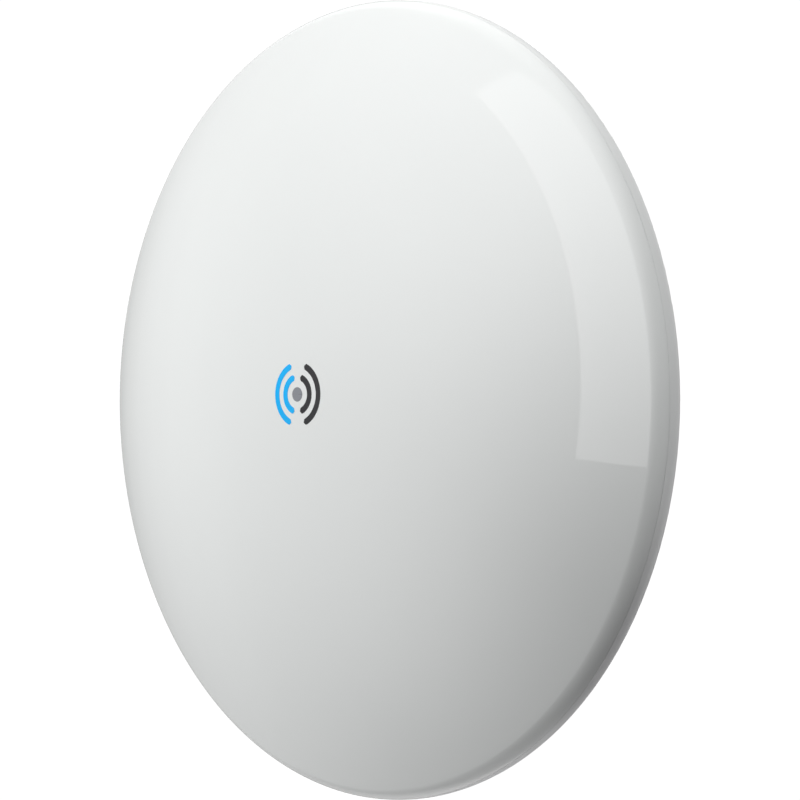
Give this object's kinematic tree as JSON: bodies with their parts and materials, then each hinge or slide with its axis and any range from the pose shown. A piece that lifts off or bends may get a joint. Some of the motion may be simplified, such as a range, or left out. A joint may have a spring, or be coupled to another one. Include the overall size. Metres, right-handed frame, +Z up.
{
  "type": "wireless bridge dish antenna",
  "caption": "Round outdoor dish antenna with a smooth domed cover, a built-in radio behind the reflector, and a ball joint on a pole clamp for aiming it.",
  "frame": {"origin": "on the pole's axis, at the middle of the pole clamp and at the height of the dish axis", "axes": "+Z up along the pole; the dish looks along -Y; +X is to the right when facing along +Y into the dome"},
  "size_m": [0.189, 0.1163, 0.189],
  "materials": {
    "cover_plastic": "glossy moulded cover, pale cool grey-white",
    "shell_plastic": "fine satin moulded texture, pale grey-white",
    "ring_plastic": "satin mid grey",
    "feed_plastic": "satin natural white",
    "dark_plastic": "matte black",
    "black_rubber": "soft matte",
    "thermal_rubber": "soft matte",
    "circuit_board": "solder mask green",
    "dish_aluminium": "spun satin",
    "dark_aluminium": "anodised",
    "tin_plate": "bright tinned",
    "steel": "zinc plated",
    "band_steel": "rolled stainless strip",
    "gold_contacts": "polished",
    "capacitor_sleeve": "shrink sleeve",
    "led_lens": "clear lens",
    "clear_acrylic": "frosted ends",
    "print_blue": "printed ink",
    "print_black": "printed ink",
    "print_grey": "printed ink"
  },
  "bodies": {
    "bracket": {"pole_bracket": "shell_plastic", "clamp_bands": "band_steel", "band_housings": "band_steel", "ball_stud": "steel"},
    "liner": {"ball_liner": "dark_plastic"},
    "head": {"radome": "cover_plastic", "radome_gasket": "black_rubber", "reflector": "dish_aluminium", "reflector_screws": "steel", "rear_shell": "shell_plastic", "feed_hub": "shell_plastic", "hub_screws": "steel", "feed_tube": "feed_plastic", "feed_board": "circuit_board", "feed_header": "dark_plastic", "subreflector": "dish_aluminium", "feed_cap": "feed_plastic", "main_board": "circuit_board", "rf_shield": "tin_plate", "processor": "dark_plastic", "thermal_pad": "thermal_rubber", "heat_sink": "dark_aluminium", "ethernet_jack": "tin_plate", "jack_contacts": "gold_contacts", "magnetics": "dark_plastic", "capacitors": "capacitor_sleeve", "status_leds": "led_lens", "light_guide": "clear_acrylic", "reset_switch": "dark_plastic", "cover_hinge_pin": "steel", "vent_plug": "black_rubber", "ball_socket": "shell_plastic", "socket_screws": "steel"},
    "lock_ring": {"lock_ring": "ring_plastic"},
    "port_cover": {"port_cover": "shell_plastic", "cable_grommet": "black_rubber"},
    "reset_button": {"reset_button": "ring_plastic"},
    "upper_band_screw": {"upper_band_screw": "steel"},
    "lower_band_screw": {"lower_band_screw": "steel"}
  },
  "joints": [
    {"name": "head_pan", "type": "hinge", "parent": "bracket", "child": "liner", "pos_m": [0, -0.0245, 0], "axis": [0, 0, 1], "range_deg": [-15, 15]},
    {"name": "head_tilt", "type": "hinge", "parent": "liner", "child": "head", "pos_m": [0, -0.0245, 0], "axis": [1, 0, 0], "range_deg": [-15, 15]},
    {"name": "lock_ring_turn", "type": "hinge", "parent": "head", "child": "lock_ring", "pos_m": [0, -0.0245, 0], "axis": [0, 1, 0], "range_deg": [0, 120]},
    {"name": "port_cover_hinge", "type": "hinge", "parent": "head", "child": "port_cover", "pos_m": [0, -0.0261, -0.0456], "axis": [1, 0, 0], "range_deg": [0, 110]},
    {"name": "reset_press", "type": "slide", "parent": "head", "child": "reset_button", "axis": [0, 0, 1], "range_m": [0, 0.0006], "stiffness_N_per_m": 400, "springref_m": -0.0005},
    {"name": "upper_band_screw_turn", "type": "hinge", "parent": "bracket", "child": "upper_band_screw", "pos_m": [-0.0178, 0, 0.014], "axis": [0, 1, 0], "continuous": true},
    {"name": "lower_band_screw_turn", "type": "hinge", "parent": "bracket", "child": "lower_band_screw", "pos_m": [-0.0178, 0, -0.014], "axis": [0, 1, 0], "continuous": true}
  ]
}
